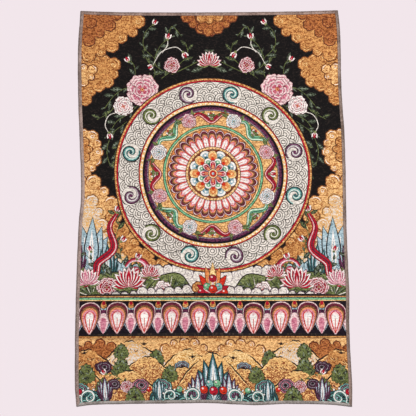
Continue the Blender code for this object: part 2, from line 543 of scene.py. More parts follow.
def scroll_head(at, size, turn, yarns):
    """A round scroll of nested bands, as on a cloud's curled head."""
    for k, (yarn, width) in enumerate(zip(yarns, (0.62, 0.50, 0.30, 0.09))):
        line = curl(size * (1 - 0.04 * k), 1.25, turn, 0.14, 22)
        lay(ribbon(at + line, size * width, 0.75), yarn)
    lay(disc(at, size * 0.18, 10), yarns[1])


def rolling_scale(at, size, bands=SCALE):
    """One scale of a rolling pattern."""
    for yarn, reach, count in bands:
        lay(disc(at, size * reach, count), yarn)


print("a rolling scale:", shapes_in(rolling_scale, 0, 15), "shapes")

# %% Lotus-petal rows and jewels
PETAL_BANDS = (  # (yarn, how much of the petal it covers)
    ("rose white", 1.00), ("maroon", 0.95), ("drab", 0.81), ("salmon", 0.72), ("pink", 0.62),
    ("rose white", 0.51),
)


def throne_petal(at, length, width, turn):
    """A broad banded petal of a lotus row, with a split white heart and red lines."""
    bands = [(yarn, length * (0.38 + 0.62 * share), width * share) for yarn, share in PETAL_BANDS]
    petals(at, turn, [("ink", length * 1.03, width * 1.06)] + bands, petal)
    for side in (-1, 1):
        line = along([0.06, 0.34 + 0.10j * side, 0.60 + 0.14j * side, 0.72 + 0.03j * side], 9) * length
        lay(ribbon(put(line, at, turn), length * 0.035, 0.4), "scarlet")
        heart = petal(length * 0.44, width * 0.20)
        lay(put(heart, at + polar(length * 0.20, turn), turn + 7 * side), "white")
    lay(ribbon(put(np.linspace(0.1, 0.5, 4) * length, at, turn), length * 0.022), "scarlet")


def jewel(at, size, yarn):
    """A round bead with a bright spot and a dark foot."""
    discs(at, (("ink", size), (yarn, size - 0.9)), 16)
    lay(disc(at - size * (0.28 + 0.32j), size * 0.26, 9), "rose white")
    lay(ribbon(at + polar(size * 0.58, np.linspace(20, 130, 7)), size * 0.16, 0.8), "ink")


print("a petal of the lotus row:", shapes_in(throne_petal, 0, 60, 50, 0), "shapes")

# %% [markdown]
# ### Land and water
# A hill is one smooth crest line with everything else hung below it. Rocks and waves are nested outlines,
# dark and pale by turns, which is how ink lines show layers of stone and curls of water.

# %% Hills
def hill(left, right, top, foot, yarn="pale gold", fade=(0.1, 0.85), skew=0.5):
    """A rounded hill with a dark broken crest, a lit line under it and strokes of rock."""
    span, low = right - left, foot - top
    crest = along([left + 1j * foot, left + span * skew * 0.5 + 1j * (top + low * 0.34),
                   left + span * skew + 1j * top, right - span * (1 - skew) * 0.5 + 1j * (top + low * 0.38),
                   right + 1j * foot], 36)
    crest = crest + 1.1j * np.sin(1.9 * np.arange(36)) + 0.9j * np.sin(0.7 * np.arange(36) + left)
    lay(np.concatenate([crest, [right + 1j * (foot + 8), left + 1j * (foot + 8)]]), yarn, fade)
    for start, end in ((1, 13), (14, 22), (23, 35)):
        lay(ribbon(crest[start:end], 3.2, 0.9), "ink")
        lay(ribbon(crest[start:end] + 3.4j, 1.8, 0.9), "bright gold")
    for k in range(14):
        share = 0.16 + 0.68 * ((0.618 * k) % 1)
        spot = crest[int(share * 35)] + 1j * low * (0.14 + 0.62 * ((0.37 * k) % 1) * (1 - abs(2 * share - 1)))
        lean = 1 if k % 2 else -1
        stroke = along([spot, spot + (2 * lean + 5j), spot + (9 * lean + 9j)], 6)
        lay(ribbon(stroke, 1.8, 0.9), ("umber", "rust", "plum")[k % 3])
        lay(ribbon(stroke + (2.2 + 1.4j), 1.3, 0.9), "bright gold")


print("a hill:", shapes_in(hill, 0, 90, 0, 30), "shapes")

# %% Bushes and rocks
def bush(at, size, seed):
    """A clump of foliage: a scalloped outline filled with small leaf marks."""
    dice = np.random.default_rng(seed)
    body = around(size * np.array([-0.62, -0.48 - 0.62j, -1.05j, 0.44 - 0.66j, 0.62, 0.30j]))
    lay(at + scallops(body, 14, size * 0.10), "ink")
    lay(at + scallops(body * 0.94, 14, size * 0.09), "moss", (0.05, 0.5))
    for k in range(34):
        spot = at + size * ((dice.random() - 0.5) * 0.95 + 1j * (dice.random() * 0.98 - 0.86))
        mark = blade(size * 0.26, size * 0.10, 0.5, 5)
        lay(put(mark, spot, -90 + 120 * (dice.random() - 0.5)), ("leaf", "dark leaf", "sage", "ink")[k % 4])


def crag(at, size, pale="sky", seed=1):
    """A weathered rock: an uneven blob in nested lines, pale and dark by turns."""
    dice = np.random.default_rng(seed)
    angles = np.arange(7) * 360 / 7
    uneven = polar(size * (0.75 + 0.45 * dice.random(7)), angles).real
    rim = around(uneven + 0.75j * polar(size, angles).imag, 32)
    for k, share in enumerate(np.linspace(1, 0.22, 9)):
        shift = size * (0.12 - 0.10j) * (1 - share)
        line = scallops(rim * share, 8, size * 0.10 * share, 4)
        lay(at + shift + line, ("ink", pale, "ink", "mist")[k % 4])


print("a bush:", shapes_in(bush, 0, 25, 1), "shapes, a rock:", shapes_in(crag, 0, 20))

# %% Cliffs
CLIFF_BLADES = (  # (lean, length)
    (-38, 0.56), (38, 0.54), (-26, 0.72), (26, 0.70), (-13, 0.87), (13, 0.84), (0, 1.0),
)


def cliff(at, size, yarn):
    """A standing rock of side-by-side blades, each in nested bands."""
    bands = (("ink", 1.03, 0.30), (yarn, 1.0, 0.25), ("sky", 0.90, 0.17), ("white", 0.78, 0.10),
             (yarn, 0.62, 0.035))
    for lean, length in CLIFF_BLADES:
        for band, reach, width in bands:
            lay(put(blade(size * length * reach, size * width, 0.35, 8), at, lean - 90), band)


print("a cliff:", shapes_in(cliff, 0, 90, "sky"), "shapes")

# %% Waves
SEA_SCALE = (
    ("ink", 1.0, 18), ("deep sea", 0.92, 18), ("ink", 0.78, 16), ("sea", 0.68, 14), ("ink", 0.54, 12),
    ("sky", 0.42, 10), ("ink", 0.28, 8),
)
CREST = (  # (reach, width, yarn)
    (1.0, 0.54, "ink"), (1.0, 0.42, "sea"), (1.06, 0.16, "white"), (0.88, 0.08, "ink"),
)


def breaker(at, size, way):
    """A curling crest with a white lip and ink lines."""
    for radius, width, yarn in CREST:
        line = curl(size * radius, 1.15, 150, 0.22, 20)
        lay(ribbon(at + (line if way > 0 else -line.conj()), size * width, 0.5), yarn)
    for angle in (200, 235, 270, 305):
        foam = at + polar(size * 1.16, angle if way > 0 else 180 - angle)
        discs(foam, (("ink", size * 0.17), ("white", size * 0.13)), 9)


print("a breaker:", shapes_in(breaker, 0, 17, 1), "shapes")

# %% [markdown]
# ## The layout
# A round medallion fills the middle. From its rim inwards it has a cream ring of rolling scales and scroll
# heads, a dusky halo, a gold wreath of blossoms and ribbons, a ring of lotus petals and a treasure flower.
# Gold clouds and flower sprays stand round it on a night-black sky, which turns to gold banks, peaks and
# lotuses lower down. Below a row of upright lotus petals, hills, waves and cliffs make the foot. The two
# halves are mirror images, so only the left one is written down.

# %% The sky and its clouds
CENTRE = MIDDLE + 384j  # the medallion's middle
FRIEZE_TOP, FRIEZE_FOOT = 664.0, 744.0  # the row of lotus petals
SKY_CLOUDS = (  # (line, lobes, size, yarns)
    ("-20,216 16,208 36,182 66,168 82,146 78,124 40,112 -20,106", 11, 13, GOLDEN),
    ("-20,108 30,104 68,90 92,64 126,46 134,16 120,-20 -20,-20", 13, 13, GOLDEN),
    ("-20,74 20,72 48,54 70,32 84,-20 -20,-20", 9, 11, TAWNY),
    ("-20,172 14,168 34,152 30,138 -20,134", 6, 9, BRIGHT),
    ("-20,36 14,34 34,16 38,-20 -20,-20", 5, 10, TAWNY),
    ("236,-20 246,6 262,28 286,40 316,42 316,-20", 8, 11, TAWNY),
    ("268,-20 272,2 290,16 316,18 316,-20", 5, 10, GOLDEN),
    ("-20,384 14,380 32,356 40,324 26,296 -20,286", 9, 11, BRIGHT),
    ("-20,352 8,346 20,326 6,308 -20,304", 5, 9, GOLDEN),
)


def count_after(what):
    """Tells how far the drawing has come."""
    print(f"{len(drawing)} shapes after {what}")


lay([0, WIDE, WIDE + 1j * TALL, 1j * TALL], "night")
half = len(drawing)
each(cloud, SKY_CLOUDS)
mirror_since(half)
count_after("the clouds")

# %% Flower sprays beside the medallion
SKY_SPRAYS = (  # (stem, leaves, their size, yarns)
    ("206,150 176,124 186,84 214,56", 8, 25, DIM), ("190,160 224,132 250,104 246,74", 7, 22, EDGED),
    ("214,150 250,132 284,112 296,92", 6, 20, DIM), ("150,206 118,240 84,262 62,300", 8, 26, DIM),
    ("150,186 112,182 82,200 58,232", 8, 26, DIM), ("160,176 176,146 160,118 146,92", 6, 22, EDGED),
    ("122,226 92,216 70,240 40,258", 6, 22, EDGED), ("128,250 104,284 88,312 84,346", 6, 22, DIM),
    ("176,112 150,84 152,50 172,26", 7, 22, DIM), ("204,60 214,34 236,58", 5, 19, DIM),
    ("132,160 128,128 112,110", 5, 20, DIM), ("108,262 74,290 60,330 66,366", 7, 22, DIM),
    ("96,300 78,340 84,392", 6, 20, EDGED),
)
SKY_BUDS = (  # (place, size, turn)
    (240 + 96j, 16, 60), (204 + 66j, 16, -80), (172 + 128j, 14, 150), (66 + 288j, 15, 80),
    (116 + 120j, 14, -120), (170 + 30j, 14, -60), (84 + 392j, 14, 90),
)
half = len(drawing)
each(spray, SKY_SPRAYS)
for stem in ("172,126 190,96 222,84 240,96", "192,98 204,80 204,64", "104,238 70,246 58,270 66,290"):
    twig(stem)
each(bud, SKY_BUDS)
each(peony, ((146 + 186j, 38, 2), (102 + 226j, 23, 5, PALE), (214 + 128j, 18, 9, DEEP)))
mirror_since(half)
lotus(MIDDLE + 128j, 34)
for side in (-1, 1):
    leaf(MIDDLE + 14 * side + 134j, 30, 90 - 70 * side)
count_after("the sprays")

# %% Banks, rocks and lotuses at the sides
BANKS = (
    ("-20,398 26,402 60,436 84,488 118,540 150,590 176,650 -20,660", 17, 14, BRIGHT),
    ("60,466 102,516 142,556 190,592 244,616 316,626 316,670 60,670", 16, 13, GOLDEN),
    ("-20,440 18,442 44,474 60,530 96,580 110,640 -20,650", 13, 12, FROSTED),
    ("20,640 66,604 104,590 142,602 176,622 210,660", 10, 10, MISTY),
    ("100,670 128,636 168,608 214,602 258,616 300,624 300,670", 12, 13, CREAMY),
)
BANK_SPRAYS = (
    ("118,660 82,622 52,598 12,560", 9, 28, DIM), ("140,662 128,622 100,584 92,540", 9, 26, DIM),
    ("60,656 34,640 14,626 4,610", 6, 24, GREEN), ("178,660 166,634 142,606 130,580", 7, 22, GREEN),
    ("96,560 84,530 90,496 76,470", 7, 22, EDGED), ("200,664 216,640 240,632", 5, 20, DIM),
)
PEAKS = ((30 + 600j, 116, "sky"), (-6 + 610j, 80, "plum"), (66 + 620j, 76, "deep sea"))
PADS = ((200 + 672j, 62, -68), (138 + 668j, 66, -112), (74 + 664j, 58, -62), (34 + 660j, 56, -104))

half = len(drawing)
each(cloud, BANKS)
each(cliff, PEAKS)
each(pad, PADS)
each(spray, BANK_SPRAYS)
scroll_head(134 + 604j, 30, 200, ("maroon", "crimson", "pink", "white"))
streamer(waving(spots("4,636 52,600 70,540 84,474"), 13, 2), 16)
each(bud, ((84 + 472j, 17, -80), (96 + 538j, 15, -50), (30 + 560j, 15, -110), (132 + 578j, 15, -70)))
peony(66 + 640j, 22, 11, DEEP)
each(lotus, ((114 + 640j, 46), (22 + 632j, 36, -98, "rose white", "pink"), (160 + 616j, 28, -70)))
peony(192 + 646j, 20, 12, PALE)
cloud("20,680 64,662 108,660 150,650 196,652 236,646 270,652 300,680", 15, 9, CREAMY)
mirror_since(half)
count_after("the banks")

# %% The medallion's rings
RIM_RINGS = (("ink", 226), ("gold", 224), ("crimson", 220), ("ink", 216.5), ("cream", 215.5))
HALO_RINGS = (
    ("ink", 170), ("crimson", 169), ("bright gold", 166.5), ("ink", 160.5), ("plum night", 159.5),
    ("haze", 155.5), ("plum", 152), ("mist", 149.5), ("ink", 147.5), ("pale gold", 146.5),
)
SCALE_ROWS, SCALES, SCALE_SIZE = (200.5, 188.5, 176.5), 44, 15.0  # radii, scales in each row, their size
HEADS = (
    ("ink", "deep sea", "sea", "white"), ("ink", "moss", "leaf", "white"), ("ink", "plum", "mist", "white"),
)
HEAD_ROW, HEAD_SIZE = 192.7, 21  # the radius that the scroll heads stand on

discs(CENTRE, RIM_RINGS, 120)
for row, radius in enumerate(SCALE_ROWS):
    for k in range(SCALES):
        rolling_scale(CENTRE + polar(radius, 360 * (k + 0.5 * row) / SCALES), SCALE_SIZE)
discs(CENTRE, HALO_RINGS, 100)
for k in range(12):
    angle = 30 * (k + 0.5)
    at = CENTRE + polar(HEAD_ROW, angle)
    discs(at, (("ink", HEAD_SIZE + 1.8), ("cream", HEAD_SIZE + 0.8)))
    scroll_head(at, HEAD_SIZE, angle + (90 if k < 6 else 150), HEADS[k % 3])
beads(CENTRE, 163.5, 96, 1.9, "white")
beads(CENTRE, 221.5, 130, 1.5, "bright gold")
count_after("the rings")

# %% The gold wreath
BLOOMS = 8
for k in range(BLOOMS):
    angle = 360 * (k + 0.5) / BLOOMS
    for side in (-1, 1):
        stem = [CENTRE + polar(r, angle + side * a) for r, a in ((134, 3), (144, 9), (139, 17), (128, 22))]
        spray(stem, 5, 17, GREEN)
    swing = np.linspace(0, 1, 28)
    scarf = CENTRE + polar(132 + 10 * np.sin(3 * np.pi * swing), angle + 4 + 37 * swing)
    streamer(scarf, 10.5, RED_SILK if k % 2 else JADE_SILK)
    bud(CENTRE + polar(128, angle + 22.5), 16, angle + 22.5)
for k in range(BLOOMS):
    peony(CENTRE + polar(132, 360 * (k + 0.5) / BLOOMS), 17, k, ROSY if k % 2 else ICY)
count_after("the wreath")

# %% The lotus-petal ring
HUB = (
    ("ink", 114.5), ("jade", 113), ("deep sea", 109.5), ("bright gold", 108), ("ink", 105.5), ("orange", 104),
)
PETALS = 16
discs(CENTRE, HUB, 90)
for half_step in (0.5, 0.0):
    for k in range(PETALS):
        angle = 360 * (k + half_step) / PETALS
        throne_petal(CENTRE + polar(44, angle), 58, 24, angle)
count_after("the lotus-petal ring")

# %% The treasure flower
FLOWER = (  # (foot, length, width, outline, body, inner, half a step round)
    (22, 33, 27, "white", "sky", "deep sea", 0.5), (14, 39, 24, "bright gold", "orange", "scarlet", 0.0),
    (8, 29, 19, "white", "jade", "deep sea", 0.5), (4, 26, 16, "rose white", "crimson", "salmon", 0.0),
)
discs(CENTRE, (("ink", 63), ("bright gold", 61.5), ("ink", 57), ("rust", 56)), 60)
beads(CENTRE, 59.2, 48, 1.4, "crimson")
for foot, length, width, outline, body, inner, half_step in FLOWER:
    for k in range(8):
        angle = 45 * (k + half_step)
        at = CENTRE + polar(foot, angle)
        petals(at, angle, (("ink", length + 1, width + 2), (outline, length, width),
                           (body, length * 0.86, width * 0.78), (inner, length * 0.62, width * 0.42)), petal)
        lay(disc(at + polar(length * 0.72, angle), width * 0.09, 7), outline)
discs(CENTRE, (("ink", 11.5), ("bright gold", 10.3), ("scarlet", 7.6)), 22)
beads(CENTRE, 8.9, 14, 0.9, "white")
lay(disc(CENTRE, 3.2, 12), "sky")
count_after("the medallion")

# %% The flaming jewels under the medallion
FLAMES = (  # (lean, length, yarn)
    (62, 40, "crimson"), (36, 52, "scarlet"), (15, 62, "orange"), (0, 70, "bright gold"),
)
for lean, length, yarn in FLAMES:
    for side in (-1, 1):
        petals(MIDDLE + 656j, -90 + lean * side, (("ink", length + 1.5, 17), (yarn, length, 14),
                                                  ("rose white", length * 0.6, 5)))
cloud("240,680 262,664 300,668 338,664 360,680", 7, 8, CREAMY)
HEAP = (  # (place from the middle line, size, yarn)
    (-13 + 640j, 8.5, "jade"), (13 + 640j, 8.5, "sea"), (-26 + 652j, 8, "crimson"), (622j, 9, "crimson"),
    (26 + 652j, 8, "scarlet"), (646j, 10, "scarlet"),
)
for shift, size, yarn in HEAP:
    jewel(MIDDLE + shift, size, yarn)
count_after("the flaming jewels")

# %% The frieze of lotus petals
UPPER_RAILS = (  # (yarn, from, to) down from the frieze's upper line
    ("ink", -9.0, 0.0), ("gold", -8.0, -5.5), ("deep sea", -5.5, -3.5), ("jade", -3.5, 0.5),
    ("bright gold", 0.5, 2.5), ("ink", 2.5, 4.0), ("plum night", 4.0, 80.0),
)
LOWER_RAILS = (("ink", 78.0, 83.0), ("gold", 79.0, 82.0))
PITCH = 60.0  # from one petal to the next


def rails(bands):
    """Straight bands from side to side."""
    for yarn, upper, lower in bands:
        top, foot = 1j * (FRIEZE_TOP + upper), 1j * (FRIEZE_TOP + lower)
        lay([top, WIDE + top, WIDE + foot, foot], yarn)


rails(UPPER_RAILS)
GAP_PETAL = (("ink", 62, 52), ("sky", 60, 48), ("haze", 54, 40), ("rose white", 46, 30), ("pink", 36, 16))
DROP = (("ink", 20, 17), ("gold", 19, 15), ("crimson", 12, 9))
for k in range(11):
    petals(k * PITCH + 1j * (FRIEZE_FOOT - 1), -90, GAP_PETAL, petal)
for k in range(10):
    throne_petal((k + 0.5) * PITCH + 1j * FRIEZE_FOOT, 72, 57, -90)
for k in range(11):
    petals(k * PITCH + 1j * (FRIEZE_TOP + 3.5), 90, DROP, petal)
rails(LOWER_RAILS)
count_after("the frieze")

# %% The ground and its hills
GROUND = (  # (motif, what it is called with), from the back to the front
    (cloud, "-20,804 10,770 46,764 80,772 96,804", 6, 9, TAWNY),
    (cloud, "176,804 206,768 246,764 276,772 300,804", 7, 9, BRIGHT),
    (hill, 60, 196, 758, 806, "frost gold", (0.05, 0.8), 0.42),
    (hill, -60, 92, 774, 822, "gold", (0.1, 0.9), 0.55),
    (bush, 100 + 790j, 24, 7), (sprig, 150 + 768j, 13),
    (hill, 180, 310, 778, 826, "bright gold", (0.1, 0.9), 0.5),
    (bush, 176 + 806j, 26, 9), (hill, 84, 220, 792, 842, "dune", (0.1, 1.0), 0.55), (sprig, 20 + 784j, 13),
    (crag, 62 + 816j, 18, "haze", 18), (crag, 232 + 816j, 16, "sky", 16),
    (hill, -70, 74, 806, 856, "dune", (0.0, 0.9), 0.42), (bush, 100 + 826j, 28, 1), (sprig, 256 + 798j, 14),
    (hill, 160, 320, 816, 866, "dune", (0.2, 1.0), 0.45), (bush, 24 + 838j, 30, 2), (bush, 206 + 840j, 26, 3),
    (hill, 40, 196, 822, 888, "dune", (0.1, 1.0), 0.50), (crag, 142 + 856j, 20, "pink", 20),
    (crag, 186 + 858j, 22, "sea", 5), (crag, 6 + 862j, 22, "sea", 6), (crag, 84 + 852j, 15, "haze", 8),
    (bush, 60 + 864j, 24, 4), (spray, "112,866 104,846 84,832 66,830", 6, 17, EDGED),
    (spray, "236,866 250,848 270,838", 5, 16, EDGED), (bud, 66 + 830j, 13, -130),
    (peony, 112 + 858j, 13, 21, DEEP), (peony, 238 + 856j, 12, 22, ROSY),
)
lay(spots(f"0,{FRIEZE_FOOT + 3} {WIDE},{FRIEZE_FOOT + 3} {WIDE},{TALL} 0,{TALL}"), "pale gold", (0.15, 0.7))
half = len(drawing)
for motif, *sizes in GROUND:
    motif(*sizes)
mirror_since(half)
hill(214, 386, 786, 866, "dune", (0.0, 0.9), 0.5)
count_after("the hills")

# %% Waves, cliffs and jewels
half = len(drawing)
for row, level in enumerate((884j, 896j)):
    for k in (-1, 0, 1, 5, 6, 7, 8):
        rolling_scale((k + 0.5 * row) * 36 + level, 21, SEA_SCALE)
cliff(64 + 886j, 52, "plum")
cliff(182 + 886j, 48, "deep sea")
bush(128 + 890j, 30, 31)
each(breaker, ((28 + 878j, 17, 1), (206 + 878j, 14, 1), (246 + 878j, 14, -1)))
each(jewel, ((226 + 864j, 7, "jade"), (160 + 864j, 6, "scarlet"), (8 + 864j, 7, "crimson")))
mirror_since(half)
cliff(MIDDLE + 890j, 104, "deep sea")
for side in (-1, 1):
    cliff(MIDDLE + 34 * side + 892j, 66, "plum")
    breaker(MIDDLE + 44 * side + 878j, 17, -side)
    jewel(MIDDLE + 21 * side + 866j, 9, "scarlet")
    jewel(MIDDLE + 8 * side + 852j, 8.5, "jade" if side > 0 else "sea")
jewel(MIDDLE + 868j, 10, "crimson")
print(f"{len(drawing)} shapes in all, {sum(len(shape[0]) for shape in drawing)} points")

# %% [markdown]
# ## From the drawing to one sheet of cloth
# The cloth is one closed sheet with the figure in its face. An image would be the usual way to colour it,
# but a mesh that follows the figure stays sharp at any distance. First all outlines go into a Delaunay
# triangulation, which cuts them where they cross, and the topmost shape at each triangle's middle tells its
# yarn. Only the edges between unlike yarns matter. They are thinned to the points that their shape needs
# and go into a second triangulation, together with a grid of points that carries the waves.

# %% Cut outlines into triangles
SAME = 1e-4  # mm, points closer than this are one


def triangulate(points, edges):
    """Points and triangles of a constrained Delaunay triangulation."""
    flat = [Vector((point.real, point.imag)) for point in points]
    verts, _, faces, *_ = delaunay_2d_cdt(flat, edges, [], 0, SAME, False)
    return np.array([complex(*vert) for vert in verts]), np.array(faces)


print("a square is cut into", len(triangulate([0, 1, 1 + 1j, 1j], [])[1]), "triangles")

# %% Find the topmost shape
SELVEDGE = 3.1  # mm, outside this the edge stitching hides the cloth, and there is no figure
AT_ONCE = 2_000_000  # tests of a point against an outline's side that memory has room for


def size_of(outline):
    """The longer side of an outline's box."""
    return max(np.ptp(outline.real), np.ptp(outline.imag))


def within(points, outline):
    """True for each point that an outline winds round."""
    a = outline[None, :] - points[:, None]
    b = np.roll(a, -1, axis=1)
    side = (a.conj() * b).imag
    up = (a.imag <= 0) & (b.imag > 0) & (side > 0)
    down = (a.imag > 0) & (b.imag <= 0) & (side < 0)
    return up.sum(axis=1) != down.sum(axis=1)


def topmost(points, least):
    """The number of the topmost shape at each point, without the shapes under a size."""
    figured = (np.minimum(points.real, WIDE - points.real) > SELVEDGE) & (
        np.minimum(points.imag, TALL - points.imag) > SELVEDGE
    )
    order = np.nonzero(figured)[0]
    order = order[np.argsort(points.real[order])]
    across = points.real[order]
    found = np.zeros(len(points), int)
    for number in range(len(drawing) - 1, 0, -1):
        outline = drawing[number][0]
        if size_of(outline) < least:
            continue
        near = order[slice(*np.searchsorted(across, (outline.real.min(), outline.real.max())))]
        heights = points.imag[near]
        near = near[(found[near] == 0) & (heights > outline.imag.min()) & (heights < outline.imag.max())]
        for some in np.array_split(near, 1 + len(near) * len(outline) // AT_ONCE):
            found[some[within(points[some], outline)]] = number
    return found


print("topmost at the medallion's middle:", drawing[topmost(np.array([CENTRE]), 0)[0]][1])

# %% Thin the edges between yarns
def chains(edges):
    """Edges joined up into lines that end where three or more meet."""
    near = {}
    for a, b in edges.tolist():
        near.setdefault(a, []).append(b)
        near.setdefault(b, []).append(a)
    used = set()
    for start in sorted(near, key=lambda point: len(near[point]) == 2):
        for ahead in near[start]:
            line = [start]
            while (line[-1], ahead) not in used:
                used.update(((line[-1], ahead), (ahead, line[-1])))
                line.append(ahead)
                if len(near[ahead]) != 2:
                    break
                ahead = sum(near[ahead]) - line[-2]
            if len(line) > 1:
                yield line


def thinned(line, slack):
    """A line with only the points that keep it within a slack of its old course."""
    far = int(np.argmax(np.abs(line - line[0]))) if line[0] == line[-1] else len(line) - 1
    keep = {0, far, len(line) - 1}
    spans = [(0, far), (far, len(line) - 1)]
    while spans:
        first, last = spans.pop()
        if last - first < 2:
            continue
        run = line[last] - line[first]
        off = np.abs(((line[first + 1 : last] - line[first]) * run.conjugate()).imag) / abs(run)
        worst = int(np.argmax(off))
        if off[worst] > slack:
            worst += first + 1
            keep.add(worst)
            spans += [(first, worst), (worst, last)]
    return line[sorted(keep)]


print("a circle of 90 points keeps", len(thinned(disc(CENTRE, 30, 90), 0.3)))

# %% Points round the sheet
def rectangle(inset, step):
    """Points round the sheet at some distance inside its outline."""
    across = np.linspace(inset, WIDE - inset, max(round(WIDE / step), 1) + 1)
    down = np.linspace(inset, TALL - inset, max(round(TALL / step), 1) + 1)
    upper, right = across + 1j * inset, WIDE - inset + 1j * down
    lower, left = across[::-1] + 1j * (TALL - inset), inset + 1j * down[::-1]
    return np.concatenate([upper[:-1], right[:-1], lower[:-1], left[:-1]])


def closed(sizes, first=0):
    """Edges round closed outlines of some sizes, whose points follow each other."""
    ends = np.cumsum(sizes)
    ahead = np.arange(1, ends[-1] + 1)
    ahead[ends - 1] = ends - sizes
    return (first + np.stack([np.arange(ends[-1]), ahead], axis=1)).tolist()


print("the rim has", len(rectangle(RIM, 12.0)), "points at steps of 12 mm")

# %% Triangulate one face of the cloth
GRID = 12.0  # mm, steps that carry the waves
CLEAR = 2.4  # mm, how far a point of the grid keeps from the figure's points
SNAP = 0.1  # mm, points go to multiples of this, so that no sliver is left
yarn_names = list(YARNS)
looks = np.array([  # the same number for shapes that look the same, and one of its own for a shape that fades
    number if fade else -1 - yarn_names.index(yarn) for number, (_, yarn, fade) in enumerate(drawing)
])


def face_of_cloth(least, slack):
    """Points, triangles and each triangle's shape, without the shapes under a size."""
    outlines = [rectangle(SELVEDGE, TALL)] + [o for o, *_ in drawing if size_of(o) >= least]
    points, faces = triangulate(np.concatenate(outlines), closed([len(outline) for outline in outlines]))
    look = looks[topmost(points[faces].mean(axis=1), least)]
    sides = np.sort(faces[:, [[0, 1], [1, 2], [2, 0]]].reshape(-1, 2), axis=1)
    order = np.lexsort(sides.T)
    sides, look = sides[order], np.repeat(look, 3)[order]
    shown = (sides[1:] == sides[:-1]).all(axis=1) & (look[1:] != look[:-1])
    places, edges = {}, set()
    for line in chains(sides[1:][shown]):
        line = thinned(points[line], slack) / SNAP
        row = [places.setdefault((round(point.real), round(point.imag)), len(places)) for point in line]
        edges.update((a, b) for a, b in zip(row, row[1:]) if a != b)

    kept = SNAP * np.array([complex(*place) for place in places])
    tree = KDTree(len(kept))
    for number, point in enumerate(kept):
        tree.insert((point.real, point.imag, 0), number)
    tree.balance()
    across, down = (np.arange(GRID, side - GRID / 2, GRID) for side in (WIDE, TALL))
    grid = [s + 1j * t for s in across for t in down]
    grid = [point for point in grid if tree.find((point.real, point.imag, 0))[2] > CLEAR]
    rim = rectangle(RIM, GRID)
    edges = list(edges) + closed([len(rim)], len(kept))
    points, faces = triangulate(np.concatenate([kept, rim, grid]), edges)
    return points, faces, topmost(points[faces].mean(axis=1), least)


print(len(set(looks.tolist())), "different looks on the sheet")

# %% Front and back
FRONT, BACK = (0, 0.3), (15, 1.2)  # mm: the smallest shape that a face shows, and its outlines' slack
front, front_faces, front_shapes = face_of_cloth(*FRONT)
back, back_faces, back_shapes = face_of_cloth(*BACK)
print(f"front: {len(front_faces)} triangles, back: {len(back_faces)}")

# %% Join front and back into a closed sheet
def rim_of(points):
    """The numbers of the points round the sheet's rim, in order."""
    number = {(round(point.real, 2), round(point.imag, 2)): n for n, point in enumerate(points)}
    return np.array([number[round(point.real, 2), round(point.imag, 2)] for point in rectangle(RIM, GRID)])


flat = np.concatenate([front, back])
near, far = rim_of(front), rim_of(back) + len(front)
near_next, far_next = np.roll(near, -1), np.roll(far, -1)
rim_faces = np.concatenate([
    np.stack([near, near_next, far_next], axis=1), np.stack([near, far_next, far], axis=1),
])
faces = np.concatenate([front_faces[:, ::-1], back_faces + len(front), rim_faces])
shapes = np.concatenate([front_shapes, back_shapes, np.zeros(len(rim_faces), int)])
height = np.repeat([-CLOTH / 2, CLOTH / 2], [len(front), len(back)])


def make_object(name, points, faces, finish=None):
    """A smooth shaded mesh object."""
    mesh = bpy.data.meshes.new(name)
    mesh.from_pydata(points.tolist(), [], faces if isinstance(faces, list) else faces.tolist())
    mesh.shade_smooth()
    made = bpy.data.objects.new(name, mesh)
    bpy.context.scene.collection.objects.link(made)
    if finish:
        mesh.materials.append(finish)
    return made


picture = make_object("woven_picture", settle(flat.real, flat.imag, height), faces)
print(f"sheet: {len(faces)} triangles, {len(rim_faces)} of them round the rim")

# %% [markdown]
# ## What each corner of the sheet carries
# A mesh can carry values at each triangle's corners, and a material reads them by name. Here they are the two
# yarn colours, the share of the second one, which may fade over a shape, the gilt, and whether it is the
# back. The weave itself is a pattern in the material, so the sheet also gets a UV map in real metres. A
# second map lays both faces and the rim side by side in one square, for anyone who bakes the finish.

# %% Write the yarns to the sheet
def linear(code):
    """A colour given as sRGB hex, as the linear values that Blender works with."""
    parts = [int(code[at : at + 2], 16) / 255 for at in (0, 2, 4)]
    return [c / 12.92 if c <= 0.04045 else ((c + 0.055) / 1.055) ** 2.4 for c in parts] + [1.0]


mains, seconds = (np.array([linear(YARNS[name][which]) for name in yarn_names]) for which in (0, 1))
yarn = np.array([yarn_names.index(entry[1]) for entry in drawing])[shapes]
gilt = np.array([YARNS[name][3] for name in yarn_names])[yarn]
share = np.repeat(np.array([YARNS[name][2] for name in yarn_names])[yarn][:, None], 3, axis=1)
for number, (outline, _, fade) in enumerate(drawing):
    if fade:
        mine = shapes == number
        way = (flat.imag[faces[mine]] - outline.imag.min()) / np.ptp(outline.imag)
        share[mine] = fade[0] + (fade[1] - fade[0]) * way
reverse = np.repeat([0.0, 1.0, 0.0], [len(front_faces), len(back_faces), len(rim_faces)])


def paint(name, values):
    """Stores a colour for each corner of the sheet's triangles."""
    layer = picture.data.attributes.new(name, "FLOAT_COLOR", "CORNER")
    layer.data.foreach_set("color", np.ascontiguousarray(values, np.float32).ravel())


paint("main yarn", np.repeat(mains[yarn], 3, axis=0))
paint("second yarn", np.repeat(seconds[yarn], 3, axis=0))
ones = np.ones(len(faces) * 3)
paint("weft", np.stack([share.ravel(), np.repeat(gilt, 3), np.repeat(reverse, 3), ones], axis=1))
print("the sheet carries", ", ".join(layer.name for layer in picture.data.color_attributes))

# %% Lay out the two UV maps
def unwrap(name, u, v):
    """Stores a UV map for the sheet's corners."""
    layer = picture.data.uv_layers.new(name=name)
    layer.uv.foreach_set("vector", np.stack([u, v], axis=-1).astype(np.float32).ravel())


MARGIN, SEAM = 0.005, 0.49  # round the square, and where the front's half ends
STRIP = (0.497, 0.503)  # where the rim lies, between the two halves

